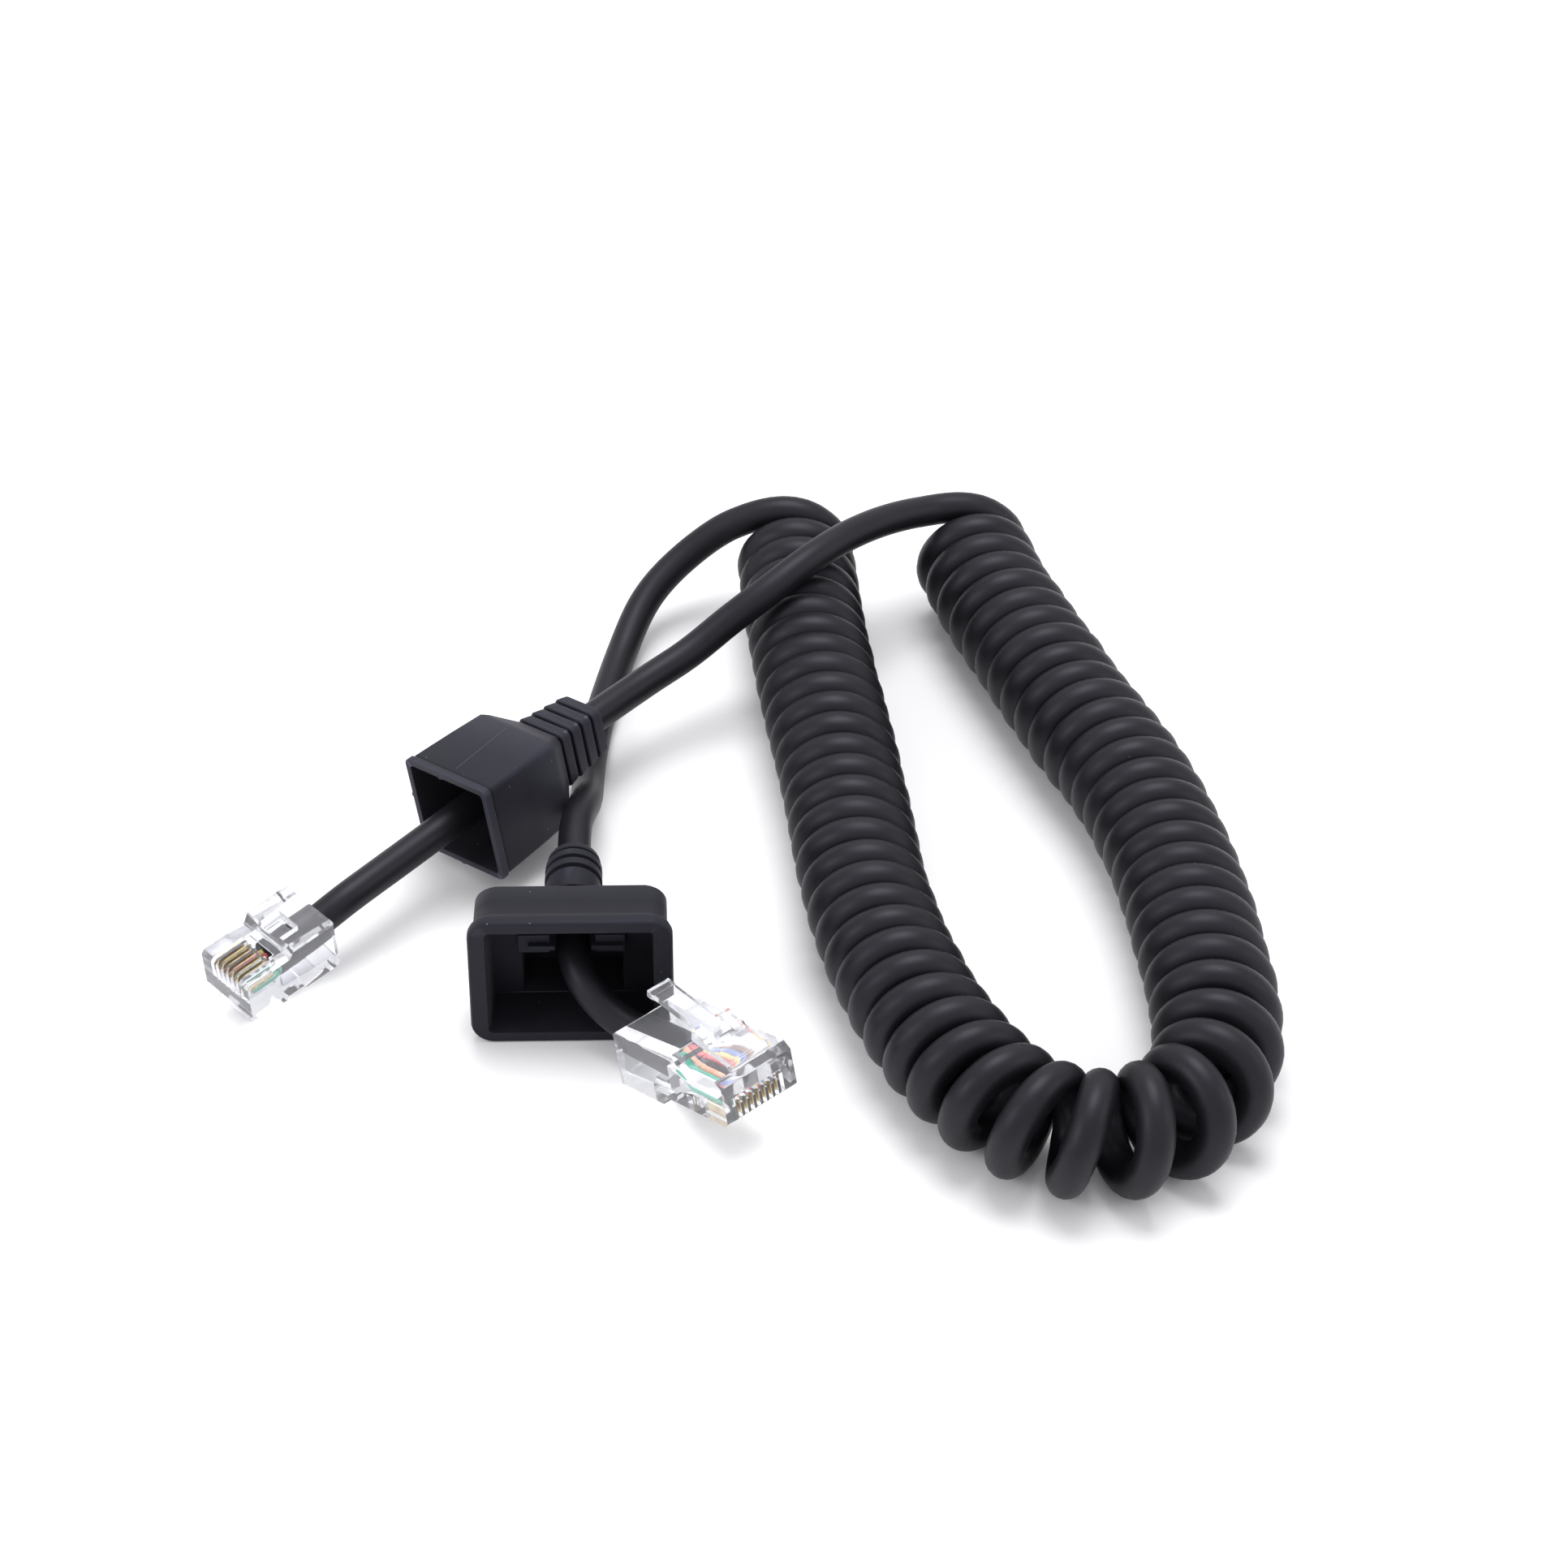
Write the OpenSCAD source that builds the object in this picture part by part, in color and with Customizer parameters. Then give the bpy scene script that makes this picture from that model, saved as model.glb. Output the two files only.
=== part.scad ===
// Coiled controller cord: a curly cord laid in a U, a straight lead at each end,
// a clear modular plug on each lead and a rubber boot pushed back along each lead.
// The table is z = 0 and the origin is the bottom centre of the whole cord set.

/* [Cord] */
// Diameter of the straight leads
cord_d = 4.4; // [4.2:0.1:4.4]
// Outer diameter of the coiled stretch
coil_d = 17.2; // [16.8:0.2:17.4]

/* [Plugs] */
// Spacing of the contacts
pitch = 1.02; // [1.0:0.01:1.04]
// Height of the front of a plug
plug_h = 6.6; // [6.4:0.1:6.8]
// Extra height of the rear block, on the contact side
block_h = 1.4; // [1.2:0.1:1.5]
// Width of the six-way plug
plug_a_w = 9.65; // [9.5:0.05:9.8]
// Length of the six-way plug
plug_a_l = 14.6; // [14.2:0.1:15]
// Width of the eight-way plug
plug_b_w = 11.7; // [11.5:0.1:11.9]
// Length of the eight-way plug
plug_b_l = 21.5; // [21.2:0.1:21.8]

/* [Latches] */
// Angle between the six-way plug's latch and its housing
latch_a_tip = 8; // [6:0.5:9]
// Angle between the eight-way plug's latch and its housing
latch_b_tip = 14; // [12:0.5:15]
// Width of a latch at its root
latch_w = 6.2; // [6:0.1:6.4]
// Width of the finger end of a latch
finger_w = 3.3; // [3:0.1:3.6]

/* [Boots] */
// Width of the square boot's mouth
hood_a_w = 15.6; // [15.2:0.1:15.7]
// Height of the square boot's mouth
hood_a_h = 14.8; // [14.4:0.1:14.9]
// Width of the wide boot's flange
flange_w = 26.4; // [26:0.1:26.5]
// Height of the wide boot's flange
flange_h = 20.4; // [20:0.1:20.4]
// Wall thickness of a boot
wall = 0.9; // [0.8:0.1:1.2]

/* [Hidden] */
$fn = 32;

// Contacts in each plug
ways_a = 6;
ways_b = 8;

// Where the cord enters each plug's rear face, and how the plug lies: roll, tip, heading
entry_a = [-55.9, -16.8, 7.2];
lie_a = [178, 6, 223];
entry_b = [-11, -35.5, 4.3];
lie_b = [0, -14, -48];

// Centre of each boot's mouth, and how the boot lies: roll, tip, heading of its tail
mouth_a = [-38.2, 1.6, 9.8];
boot_a_lie = [-9, -3, 48];
mouth_b = [-21.4, -31.7, 10.2];
boot_b_lie = [0, 0, 91];

// Square boot: hood, shoulder and tail lengths, how much the hood narrows, tail width
hood_a_l = 13.4;
shoulder_a_l = 3.8;
tail_a_l = 8.6;
hood_a_narrowing = 1.1;
tail_a_w = 8.3;
// Wide boot: flange, hood, shoulder and neck lengths, and neck diameter
flange_l = 2;
hood_b_l = 6.8;
shoulder_b_l = 7;
neck_l = 8.6;
neck_d = 7.6;
// Pocket behind the wide boot's hood: width, height and how far it sits below the axis
pocket_b_w = 13.4;
pocket_b_h = 10.4;
pocket_b_drop = 2.6;
// Running clearance between a boot's bore and the lead inside it
bore_gap = 0.25;
bore_r = cord_d / 2 + bore_gap;

// Height of the cord's axis above the contact side, inside a plug
axis_z = 2.6;
// How far the jacket reaches into each plug
jacket_a = 8;
jacket_b = 9;
// Insulated wire diameter and the height of the channel it lies in
wire_d = 0.94;
channel_h = 1.2;
// Contact blades and their slots, and the plastic left at the nose
blade_t = 0.32;
blade_l = 4.4;
slot_w = 0.6;
nose_wall = 1.2;
// Latch root barrel, clear of the housing
root_r = 0.65;
root_gap = 0.12;
lever_t = 0.9;

function unit(v) = v / norm(v);
function heading(lie) = [
    cos(lie[1]) * cos(lie[2]), cos(lie[1]) * sin(lie[2]), -sin(lie[1])
];
// A point at a distance along a boot's axis, counted from its mouth towards its tail
function along(mouth, lie, s) = mouth + s * heading(lie);

// Route of the coil's axis, from the left arm's far end round the bend to the right arm's
coil_axis = [
    [7.5, 63.5], [8.8, 48], [10.6, 33], [12.9, 18], [14.9, 3], [16.8, -12], [20.4, -27],
    [26.4, -42], [34.6, -53.5], [44, -58.2], [53.4, -56], [59.6, -49], [61.4, -38],
    [60.2, -23], [57.8, -7], [53.2, 10], [46.6, 25], [40.6, 40], [35.6, 53], [32.5, 64.3]
];
coil_route = [for (p = coil_axis) [p[0], p[1], coil_d / 2]];

// Route of lead A: out of the plug, straight through the boot, over the left arm, to the coil
lead_a_route = concat(
    [entry_a + jacket_a * heading(lie_a), entry_a],
    [for (s = [-20, -10, 0, 13, hood_a_l + shoulder_a_l + tail_a_l + 1]) along(mouth_a, boot_a_lie, s)],
    [
        [-13.2, 29.6, 11.2], [-7.2, 34.6, 12.4], [-1.6, 38.4, 15.2], [3.8, 41.2, 18.2],
        [9.4, 46, 19.9], [15, 52.6, 19.3], [21, 58.6, 17.8], [27, 63, 16], [32.4, 64.2, 15]
    ]
);

// Route of lead B: coil to table, under lead A, up into the wide boot and down to the plug
lead_b_route = concat(
    [
        [7, 63.4, 14.9], [0, 63.8, 14], [-7.4, 61.6, 9.8], [-13.6, 56, 6], [-16.8, 48, 2.8],
        [-18.6, 40, 2.2], [-20.1, 31, 2.2], [-20.8, 23, 2.3], [-20.9, 16, 3.6],
        [-20.8, 9.4, 6.6], [-21.5, 3.8, 9.1]
    ],
    [for (s = [31.5, 27, 19, 9.5]) along(mouth_b, boot_b_lie, s)],
    [[-21.1, -26.8, 9.1], [-19.4, -29.7, 7.3], [-17, -31.8, 5.5], [-14.2, -33.6, 4.4]],
    [entry_b, entry_b + jacket_b * heading(lie_b)]
);

// Frame at point i of a route: the tangent, a level side vector and an upward one
function tangent(r, i) = unit(r[min(i + 1, len(r) - 1)] - r[max(i - 1, 0)]);
function side(r, i) = unit(cross(tangent(r, i), [0, 0, 1]));
function upward(r, i) = cross(side(r, i), tangent(r, i));

// A round tube swept along a route, with one ring at each of its points
module tube(route, d, sides) {
    rings = len(route);
    points = [
        for (i = [0:rings - 1])
            for (k = [0:sides - 1])
                route[i] + d / 2 * (
                    cos(360 * k / sides) * side(route, i) + sin(360 * k / sides) * upward(route, i)
                )
    ];
    walls = [
        for (i = [0:rings - 2])
            for (k = [0:sides - 1])
                [
                    i * sides + k, i * sides + (k + 1) % sides,
                    (i + 1) * sides + (k + 1) % sides, (i + 1) * sides + k
                ]
    ];
    near_end = [[for (k = [sides - 1:-1:0]) k]];
    far_end = [[for (k = [0:sides - 1]) (rings - 1) * sides + k]];
    polyhedron(points, concat(walls, near_end, far_end));
}

// A rounded rectangle centred on the axis, standing across x, y wide and z high
module plate(w, h, r, from, length) {
    translate([from, 0, 0])
    rotate([90, 0, 90])
    linear_extrude(length) {
        square([w - 2 * r, h], center = true);
        square([w, h - 2 * r], center = true);
        for (sx = [-1, 1], sy = [-1, 1])
            translate([sx * (w / 2 - r), sy * (h / 2 - r)]) circle(r);
    }
}

// A cylinder along x
module rod(r, from, length) {
    translate([from, 0, 0]) rotate([0, 90, 0]) cylinder(r = r, h = length);
}

// Puts a plug where its cord enters: x runs to the nose, the latch side is +z
module lay_plug(entry, lie) {
    translate(entry) rotate(lie) translate([0, 0, -axis_z]) children();
}

// Puts a boot where its mouth is: x runs from the mouth to the tail
module lay_boot(mouth, lie) {
    translate(mouth) rotate(lie) children();
}

function wire_y(ways, i) = (i - (ways - 1) / 2) * pitch;

// Housing of a modular plug, hollowed for the jacket, the wires, the bar and the blades
module plug_body(w, l, ways, jacket, block_l) {
    difference() {
        union() {
            translate([0, -w / 2, 0]) cube([l, w, plug_h]);
            translate([0, -w / 2, -block_h]) cube([block_l, w, block_h]);
            // low ramp below the nose's latch root
            translate([l - 5, -latch_w / 2 - 0.6, plug_h]) cube([3.6, latch_w + 1.2, 0.1]);
        }
        // cord channel
        translate([0, 0, axis_z]) rod(bore_r, -1, jacket + 1.4);
        // wire channel
        translate([jacket, -ways * pitch / 2, axis_z - channel_h / 2])
            cube([l - jacket - nose_wall, ways * pitch, channel_h]);
        // slots for the blades, open at the nose and on the contact side
        for (i = [0:ways - 1])
            translate([l - blade_l - 1, wire_y(ways, i) - slot_w / 2, -1])
                cube([blade_l + 2, slot_w, 3.1]);
        // window for the crimp bar
        translate([jacket - 4.4, -1.9, -block_h - 1]) cube([3.2, 3.8, block_h + 2]);
    }
}

// Latch lever: a barrel at the nose, a wide shoulder and a narrow finger, in one moulding
module latch(l, tip, reach) {
    root_z = plug_h + root_gap + root_r;
    shoulder = reach * 0.42;
    translate([l - 1, 0, root_z]) {
        rotate([90, 0, 0]) cylinder(r = root_r, h = latch_w + 0.4, center = true);
        rotate([0, tip, 0])
        translate([0, 0, -lever_t / 2])
        linear_extrude(lever_t) {
            translate([-shoulder, -latch_w / 2]) square([shoulder + 0.2, latch_w]);
            translate([-reach, -finger_w / 2]) square([reach, finger_w]);
        }
    }
}

// One blade per contact, standing in its slot just inside the contact side
module contacts(l, ways) {
    for (i = [0:ways - 1])
        translate([l - blade_l - 0.6, wire_y(ways, i) - blade_t / 2, 0.35]) {
            cube([blade_l, blade_t, axis_z - channel_h / 2 - 0.37]);
        }
}

// The wedge pressed through the window onto the jacket
module crimp_bar(jacket) {
    translate([jacket - 4.2, -1.7, -0.35]) cube([2.8, 3.4, 0.7]);
}

// One insulated wire, from the end of the jacket to the nose
module wire(l, ways, jacket, i) {
    translate([0, wire_y(ways, i), axis_z])
        rod(wire_d / 2, jacket + 0.05, l - jacket - nose_wall - 0.3);
}

module in_a() {
    lay_plug(entry_a, lie_a) children();
}

module in_b() {
    lay_plug(entry_b, lie_b) children();
}

module coil() {
    color("#232328") tube(coil_route, coil_d, 12);
}

module lead_a() {
    color("#2a2a2e") tube(lead_a_route, cord_d, 10);
}

module lead_b() {
    color("#2a2a2e") tube(lead_b_route, cord_d, 10);
}

// Square hood with a lip, a sloped shoulder and a tail with four steps
module boot_a() {
    rib = tail_a_l / 4;
    rear_w = hood_a_w - hood_a_narrowing;
    rear_h = hood_a_h - hood_a_narrowing;
    tail_from = hood_a_l + shoulder_a_l;
    color("#34343a")
    lay_boot(mouth_a, boot_a_lie)
    difference() {
        union() {
            plate(hood_a_w, hood_a_h, 1, 0, 1.2);
            hull() {
                plate(hood_a_w - 0.4, hood_a_h - 0.4, 1, 1.1, 0.1);
                plate(rear_w, rear_h, 1, hood_a_l - 0.1, 0.1);
            }
            hull() {
                plate(rear_w, rear_h, 1, hood_a_l - 0.01, 0.02);
                plate(tail_a_w + 0.3, tail_a_w + 0.3, 1, tail_from - 0.02, 0.02);
            }
            for (i = [0:3]) {
                step_w = tail_a_w - i * 0.35;
                plate(step_w, step_w, 0.8, tail_from + i * rib, rib - 0.6);
                plate(step_w - 1.3, step_w - 1.3, 0.8, tail_from + i * rib - 0.02, rib + 0.02);
            }
        }
        plate(rear_w - 2 * wall, rear_h - 2 * wall, 0.5, -1, hood_a_l);
        rod(bore_r, -1, hood_a_l + shoulder_a_l + tail_a_l + 2);
    }
}

// Wide hood behind a flange, a pocket for the plug's tail and a round neck with rings
module boot_b() {
    hood_w = flange_w - 1.8;
    hood_h = flange_h - 1.8;
    shoulder_from = flange_l + hood_b_l;
    neck_from = shoulder_from + shoulder_b_l;
    color("#34343a")
    lay_boot(mouth_b, boot_b_lie)
    difference() {
        union() {
            plate(flange_w, flange_h, 2.6, 0, flange_l);
            plate(hood_w, hood_h, 2.4, flange_l, hood_b_l);
            translate([0, 0, -pocket_b_drop])
                plate(pocket_b_w + 2.2, pocket_b_h + 2, 1.5, shoulder_from - 0.1, shoulder_b_l + 0.1);
            rod(neck_d / 2 - 0.3, neck_from, neck_l);
            for (from = [0.5, 4.7, 6.8]) rod(neck_d / 2, neck_from + from, from < 1 ? 3.6 : 1.8);
        }
        plate(flange_w - 5.2, flange_h - 4.4, 0.8, -1, flange_l + hood_b_l - 0.6);
        translate([0, 0, -pocket_b_drop])
            plate(pocket_b_w, pocket_b_h, 0.4, 0, neck_from - 1.2);
        rod(bore_r, -1, neck_from + neck_l + 2);
    }
}

module plug_a_body() {
    color("#dfe6ea", 0.4) in_a() plug_body(plug_a_w, plug_a_l, ways_a, jacket_a, 7.3);
}

module plug_a_latch() {
    color("#dfe6ea", 0.4) in_a() latch(plug_a_l, latch_a_tip, 11.4);
}

module plug_a_contacts() {
    color("#c9a24a") in_a() contacts(plug_a_l, ways_a);
}

module plug_a_crimp_bar() {
    color("#dfe6ea", 0.4) in_a() crimp_bar(jacket_a);
}

module plug_b_body() {
    color("#dfe6ea", 0.4) in_b() plug_body(plug_b_w, plug_b_l, ways_b, jacket_b, 9);
}

module plug_b_latch() {
    color("#dfe6ea", 0.4) in_b() latch(plug_b_l, latch_b_tip, 17.4);
}

module plug_b_contacts() {
    color("#c9a24a") in_b() contacts(plug_b_l, ways_b);
}

module plug_b_crimp_bar() {
    color("#dfe6ea", 0.4) in_b() crimp_bar(jacket_b);
}

module wire_a(i) {
    in_a() wire(plug_a_l, ways_a, jacket_a, i);
}

module wire_b(i) {
    in_b() wire(plug_b_l, ways_b, jacket_b, i);
}

coil();
lead_a();
lead_b();
boot_a();
boot_b();
plug_a_body();
plug_a_latch();
plug_a_contacts();
plug_a_crimp_bar();
color("white") wire_a(1);  // wire_a_white
color("black") wire_a(3);  // wire_a_black
color("red") wire_a(2);  // wire_a_red
color("green") wire_a(0);  // wire_a_green
color("yellow") wire_a(4);  // wire_a_yellow
color("blue") wire_a(5);  // wire_a_blue
plug_b_body();
plug_b_latch();
plug_b_contacts();
plug_b_crimp_bar();
color("orange") wire_b(1);  // wire_b_orange
color("black") wire_b(2);  // wire_b_black
color("red") wire_b(3);  // wire_b_red
color("green") wire_b(0);  // wire_b_green
color("yellow") wire_b(4);  // wire_b_yellow
color("blue") wire_b(5);  // wire_b_blue
color("saddlebrown") wire_b(6);  // wire_b_brown
color("white") wire_b(7);  // wire_b_white
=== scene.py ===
# Coiled controller cord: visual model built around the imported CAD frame.
# Everything is in metres in the frame's own axes. Helpers take millimetres and scale once.
import math
import random

import bmesh
import bpy
import numpy as np
from mathutils import Euler, Matrix, Vector


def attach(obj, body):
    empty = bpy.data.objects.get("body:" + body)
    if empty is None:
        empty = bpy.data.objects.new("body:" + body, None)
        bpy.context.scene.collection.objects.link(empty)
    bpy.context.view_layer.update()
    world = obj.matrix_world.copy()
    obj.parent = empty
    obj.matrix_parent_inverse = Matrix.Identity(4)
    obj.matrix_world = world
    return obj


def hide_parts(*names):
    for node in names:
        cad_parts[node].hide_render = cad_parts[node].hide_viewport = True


MM = 0.001
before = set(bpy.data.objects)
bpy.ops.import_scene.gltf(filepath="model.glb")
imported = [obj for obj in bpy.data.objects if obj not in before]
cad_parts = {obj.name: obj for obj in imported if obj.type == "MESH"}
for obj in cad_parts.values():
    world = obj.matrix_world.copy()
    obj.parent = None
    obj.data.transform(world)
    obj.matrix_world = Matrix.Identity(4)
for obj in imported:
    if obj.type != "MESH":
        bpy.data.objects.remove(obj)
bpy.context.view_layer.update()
scene = bpy.context.scene
rng = random.Random(7)


# ---------------------------------------------------------------- camera

camera_data = bpy.data.cameras.new("camera")
camera_data.lens, camera_data.sensor_width = 111.8, 36
camera = bpy.data.objects.new("camera", camera_data)
elevation, distance, target = math.radians(39.5), 0.674, Vector((0.006, 0.021, 0))
camera.location = target + distance * Vector((0, -math.cos(elevation), math.sin(elevation)))
camera.rotation_euler = (math.pi / 2 - elevation, 0, 0)
scene.collection.objects.link(camera)
scene.camera = camera


# ---------------------------------------------------------------- mesh helpers

def mesh_object(name, points_mm, faces, smooth=True):
    """A mesh object from points in millimetres."""
    mesh = bpy.data.meshes.new(name)
    mesh.from_pydata([tuple(c * MM for c in p) for p in points_mm], [], faces)
    mesh.validate()
    piece = bpy.data.objects.new(name, mesh)
    scene.collection.objects.link(piece)
    tidy = bmesh.new()
    tidy.from_mesh(mesh)
    bmesh.ops.recalc_face_normals(tidy, faces=tidy.faces)
    tidy.to_mesh(mesh)
    tidy.free()
    for face in mesh.polygons:
        face.use_smooth = smooth
    return piece


def place(piece, at_mm, lie_deg, drop_mm=0.0):
    """Moves a piece from its own axes to where it lies: roll, tip and heading, as in the CAD."""
    turn = Euler([math.radians(a) for a in lie_deg], "XYZ").to_matrix().to_4x4()
    piece.data.transform(
        Matrix.Translation(Vector(at_mm) * MM) @ turn @ Matrix.Translation((0, 0, -drop_mm * MM))
    )
    return piece


def shade_smooth(piece):
    """Shades every face of a piece smooth."""
    for face in piece.data.polygons:
        face.use_smooth = True


def soften_edges(piece, width_mm, angle=28):
    """Rounds the edges sharper than an angle, the way moulded corners are rounded."""
    bevel = piece.modifiers.new("soft_edges", "BEVEL")
    bevel.width, bevel.segments = width_mm * MM, 2
    bevel.limit_method, bevel.angle_limit = "ANGLE", math.radians(angle)
    bevel.harden_normals = True
    bevel.use_clamp_overlap = True
    return piece


CORNER_POINTS = 7


def rounded_rect(w, h, r, cy=0.0, cz=0.0):
    """Points round a rounded rectangle across the x axis, as (y, z) pairs."""
    ring = []
    for turn, (sy, sz) in enumerate(((1, 1), (-1, 1), (-1, -1), (1, -1))):
        for k in range(CORNER_POINTS):
            a = math.pi / 2 * (turn + (k + 0.5) / CORNER_POINTS)
            y = cy + sy * (w / 2 - r) + r * math.cos(a)
            z = cz + sz * (h / 2 - r) + r * math.sin(a)
            ring.append((y, z))
    return ring


def loft(name, sections):
    """A closed skin through sections (x, width, height, corner radius, y, z).

    The last section joins the first, so the skin runs along the outside, in at the tail and
    back out through the hollow.
    """
    points, faces = [], []
    for x, w, h, r, *shift in sections:
        points += [(x, y, z) for y, z in rounded_rect(w, h, r, *shift)]
    n, rings = 4 * CORNER_POINTS, len(sections)
    for i in range(rings):
        j = (i + 1) % rings
        for k in range(n):
            faces.append((i * n + k, i * n + (k + 1) % n, j * n + (k + 1) % n, j * n + k))
    return mesh_object(name, points, faces)


def box_points(x0, x1, y0, y1, z0, z1):
    """The eight corners of a box."""
    return [(x, y, z) for z in (z0, z1) for x, y in ((x0, y0), (x1, y0), (x1, y1), (x0, y1))]


BOX_FACES = [(0, 3, 2, 1), (4, 5, 6, 7), (0, 1, 5, 4), (1, 2, 6, 5), (2, 3, 7, 6), (3, 0, 4, 7)]


def boxes(name, blocks):
    """Several separate boxes in one mesh. A block is eight corners."""
    points, faces = [], []
    for block in blocks:
        faces += [tuple(len(points) + i for i in face) for face in BOX_FACES]
        points += block
    return mesh_object(name, points, faces, smooth=False)


def prism(name, near, far):
    """A solid between two outlines with as many points each."""
    n = len(near)
    faces = [tuple(range(n)), tuple(range(2 * n - 1, n - 1, -1))]
    faces += [(i, (i + 1) % n, n + (i + 1) % n, n + i) for i in range(n)]
    return mesh_object(name, near + far, faces, smooth=False)


def extruded(name, outline, y0, y1):
    """A side outline of (x, z) points, carried across from y0 to y1."""
    return prism(name, [(x, y0, z) for x, z in outline], [(x, y1, z) for x, z in outline])


def combine(piece, other, operation):
    """Adds or cuts away another piece, and removes that other piece."""
    change = piece.modifiers.new("combine", "BOOLEAN")
    change.operation, change.object, change.solver = operation, other, "EXACT"
    now = bpy.context.evaluated_depsgraph_get()
    shaped = bpy.data.meshes.new_from_object(piece.evaluated_get(now))
    piece.modifiers.clear()
    piece.data = shaped
    bpy.data.objects.remove(other)
    return piece


def join(piece, *others):
    """Puts other pieces' meshes into the first, without cutting."""
    whole = bmesh.new()
    for part in (piece, *others):
        whole.from_mesh(part.data)
    whole.to_mesh(piece.data)
    whole.free()
    for part in others:
        bpy.data.objects.remove(part)
    return piece


def sweep(name, path, radii, sides=20):
    """A capped round tube along a dense path, with its rings turned as little as possible."""
    path = np.array(path, float)
    ahead = np.gradient(path, axis=0)
    ahead /= np.linalg.norm(ahead, axis=1)[:, None]
    side = np.cross(ahead[0], (0, 0, 1.0))
    side /= np.linalg.norm(side)
    points = []
    for p, t, r in zip(path, ahead, radii):
        side = side - t * (side @ t)
        side /= np.linalg.norm(side)
        up = np.cross(side, t)
        for k in range(sides):
            a = 2 * math.pi * k / sides
            points.append(tuple(p + r * (math.cos(a) * side + math.sin(a) * up)))
    faces = []
    for i in range(len(path) - 1):
        here, there = i * sides, (i + 1) * sides
        for k in range(sides):
            m = (k + 1) % sides
            faces.append((here + k, here + m, there + m, there + k))
    end = (len(path) - 1) * sides
    faces += [tuple(range(sides - 1, -1, -1)), tuple(end + k for k in range(sides))]
    return mesh_object(name, points, faces)


def curve_through(points, step):
    """A smooth curve through points, sampled about every step (centripetal Catmull-Rom)."""
    p = np.array(points, float)
    p = np.vstack([2 * p[0] - p[1], p, 2 * p[-1] - p[-2]])
    out = []
    for i in range(1, len(p) - 2):
        a, b, c, d = p[i - 1:i + 3]
        t0 = 0.0
        t1 = t0 + np.linalg.norm(b - a) ** 0.5
        t2 = t1 + np.linalg.norm(c - b) ** 0.5
        t3 = t2 + np.linalg.norm(d - c) ** 0.5
        count = max(2, int(round(np.linalg.norm(c - b) / step)))
        for t in np.linspace(t1, t2, count, endpoint=False):
            ab = (t1 - t) / (t1 - t0) * a + (t - t0) / (t1 - t0) * b
            bc = (t2 - t) / (t2 - t1) * b + (t - t1) / (t2 - t1) * c
            cd = (t3 - t) / (t3 - t2) * c + (t - t2) / (t3 - t2) * d
            abc = (t2 - t) / (t2 - t0) * ab + (t - t0) / (t2 - t0) * bc
            bcd = (t3 - t) / (t3 - t1) * bc + (t - t1) / (t3 - t1) * cd
            out.append((t2 - t) / (t2 - t1) * abc + (t - t1) / (t2 - t1) * bcd)
    out.append(p[-2])
    return np.array(out)


# ---------------------------------------------------------------- the cord

# Where the plugs and boots lie, as in the CAD: a point, then roll, tip and heading
ENTRY_A, LIE_A = (-55.9, -16.8, 7.2), (178, 6, 223)
ENTRY_B, LIE_B = (-11, -35.5, 4.3), (0, -14, -48)
MOUTH_A, BOOT_A_LIE = (-38.2, 1.6, 9.8), (-9, -3, 48)
MOUTH_B, BOOT_B_LIE = (-21.4, -31.7, 10.2), (0, 0, 91)
# Height of the cord's axis over a plug's underside, and how far the jacket reaches into each plug
AXIS_Z, JACKET_A, JACKET_B = 2.6, 8.0, 9.0
# Radii of the straight leads, of the wound strand and of the coil's outside
LEAD_R, STRAND_R, COIL_R = 2.2, 2.5, 8.6
TURNS, STEPS_PER_TURN = 56, 44
WANDER = 0.1  # how far a turn sits in or out of line
LEAD_STEP = 0.8  # spacing of the points along the leads
EASING_PASSES = 20  # after these, no bend of lead B itself is tighter than two of its diameters
TAPER_PASSES = 60  # these spread the change from lead to strand over some 15 mm


def heading(lie):
    """The way a piece points once it is tipped and turned."""
    _, tip, turn = (math.radians(a) for a in lie)
    level = math.cos(tip)
    return np.array((level * math.cos(turn), level * math.sin(turn), -math.sin(tip)))


def along(mouth, lie, s):
    """A point on a piece's own axis, s from its mouth."""
    return np.array(mouth) + s * heading(lie)


coil_axis = curve_through([
    (7.5, 63.5, 8.6), (8.8, 48, 8.6), (10.6, 33, 8.6), (12.9, 18, 8.6), (14.9, 3, 8.6),
    (16.8, -12, 8.6), (20.4, -27, 8.6), (26.4, -42, 8.6), (34.6, -53.5, 8.6), (44, -58.2, 8.6),
    (53.4, -56, 8.6), (59.6, -49, 8.6), (61.4, -38, 8.6), (60.2, -23, 8.6), (57.8, -7, 8.6),
    (53.2, 10, 8.6), (46.6, 25, 8.6), (40.6, 40, 8.6), (35.6, 53, 8.6), (32.5, 64.3, 8.6),
], 0.5)
lead_a = curve_through(
    [along(ENTRY_A, LIE_A, JACKET_A), ENTRY_A]
    + [along(MOUTH_A, BOOT_A_LIE, s) for s in (-20, -10, 0, 13, 26.8)]
    + [(-13.2, 29.6, 11.2), (-7.2, 34.6, 12.4), (-1.6, 38.4, 15.2), (3.8, 41.2, 18.2),
       (9.4, 46, 19.9), (15, 52.6, 19.3), (21, 58.6, 17.8), (27, 63, 16), (32.4, 64.2, 15)],
    LEAD_STEP)
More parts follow.
